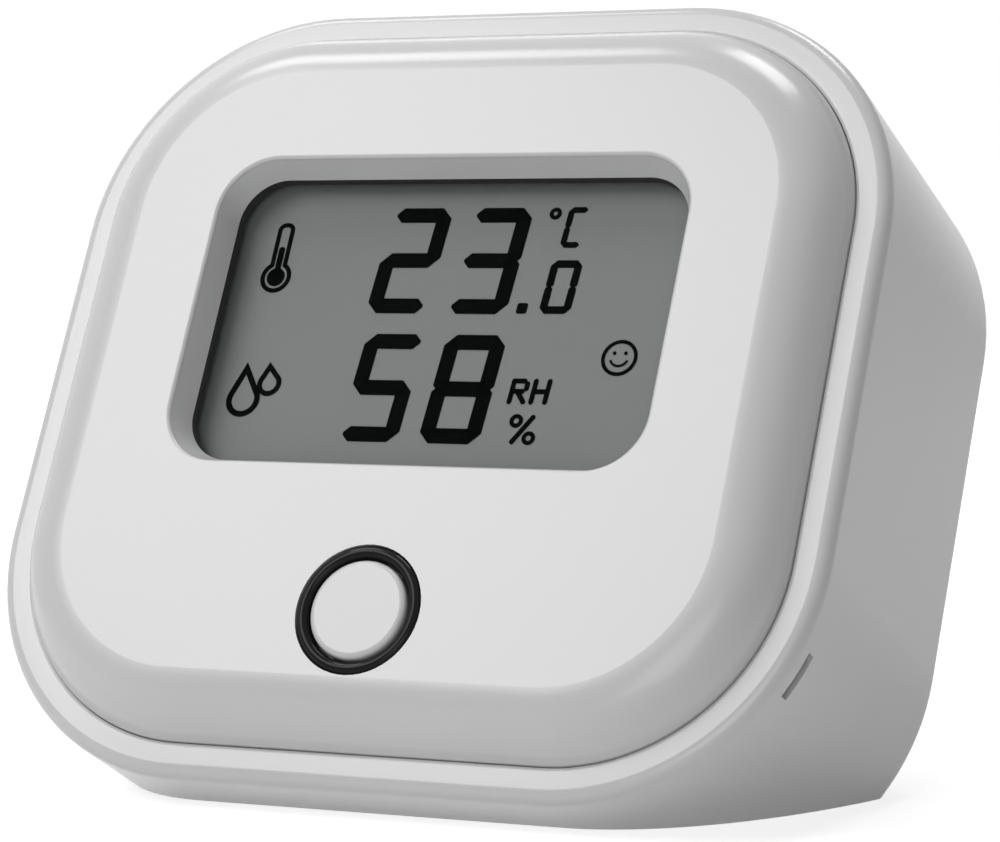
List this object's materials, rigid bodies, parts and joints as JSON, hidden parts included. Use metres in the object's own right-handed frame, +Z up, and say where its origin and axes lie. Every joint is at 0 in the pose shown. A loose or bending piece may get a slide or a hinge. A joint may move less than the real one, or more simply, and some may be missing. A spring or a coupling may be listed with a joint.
{
  "type": "temperature humidity sensor",
  "caption": "Free-standing white temperature and humidity sensor leaning back on a flat base, with a recessed grey display, a round push button and a sliding battery door.",
  "frame": {"origin": "middle of the overall box, on the plane of the base", "axes": "+X to the viewer's right along the face, +Y from the face to the back, +Z up"},
  "size_m": [0.075, 0.057, 0.0654],
  "materials": {
    "shell_white": "satin moulded",
    "button_white": "satin moulded",
    "trim_dark": "polished",
    "foam_black": "closed-cell foam",
    "window_clear": "clear",
    "lcd_grey": "anti-glare film",
    "lcd_glass": "clear",
    "reflector_film": "matt",
    "frame_plastic": "moulded",
    "zebra_rubber": "elastomer",
    "board_green": "solder mask",
    "radio_blue": "solder mask",
    "screw_steel": "zinc plated",
    "contact_nickel": "nickel plated",
    "chip_black": "moulded",
    "plunger_tan": "moulded",
    "filter_white": "membrane",
    "shield_tin": "tin plated",
    "antenna_brass": "stamped",
    "capacitor_can": "sleeved",
    "chip_ceramic": "fired",
    "cell_jacket": "lacquered"
  },
  "bodies": {
    "housing": {"rear_housing": "shell_white", "front_cover": "shell_white", "button_ring": "trim_dark", "display_gasket": "foam_black", "display_window": "window_clear", "lcd_front_polariser": "lcd_grey", "lcd_front_glass": "lcd_glass", "lcd_rear_glass": "lcd_glass", "lcd_reflector": "reflector_film", "display_frame": "frame_plastic", "zebra_strip_upper": "zebra_rubber", "zebra_strip_lower": "zebra_rubber", "circuit_board": "board_green", "radio_board": "radio_blue", "board_screws": "screw_steel", "case_screws": "screw_steel", "contact_positive": "contact_nickel", "contact_negative": "contact_nickel", "contact_link": "contact_nickel", "cell_spring_upper": "contact_nickel", "cell_spring_lower": "contact_nickel", "switch_body": "chip_black", "humidity_sensor": "chip_black", "microcontroller": "chip_black", "sensor_filter": "filter_white", "radio_shield": "shield_tin", "quartz_crystal": "shield_tin", "antenna": "antenna_brass", "capacitor": "capacitor_can", "chip_parts": "chip_ceramic", "battery_upper": "cell_jacket", "battery_lower": "cell_jacket"},
    "button": {"button_cap": "button_white"},
    "plunger": {"switch_plunger": "plunger_tan"},
    "door": {"battery_door": "shell_white"}
  },
  "joints": [
    {"name": "button_press", "type": "slide", "parent": "housing", "child": "button", "axis": [0, 0.891, -0.454], "range_m": [0, 0.0005], "stiffness_N_per_m": 3000, "springref_m": -0.0001},
    {"name": "switch_press", "type": "slide", "parent": "housing", "child": "plunger", "axis": [0, 0.891, -0.454], "range_m": [0, 0.0005]},
    {"name": "door_slide", "type": "slide", "parent": "housing", "child": "door", "axis": [0, -0.454, -0.891], "range_m": [0, 0.03]}
  ],
  "couplings": [
    {"joint": "switch_press", "follows": "button_press", "ratio": 1}
  ]
}
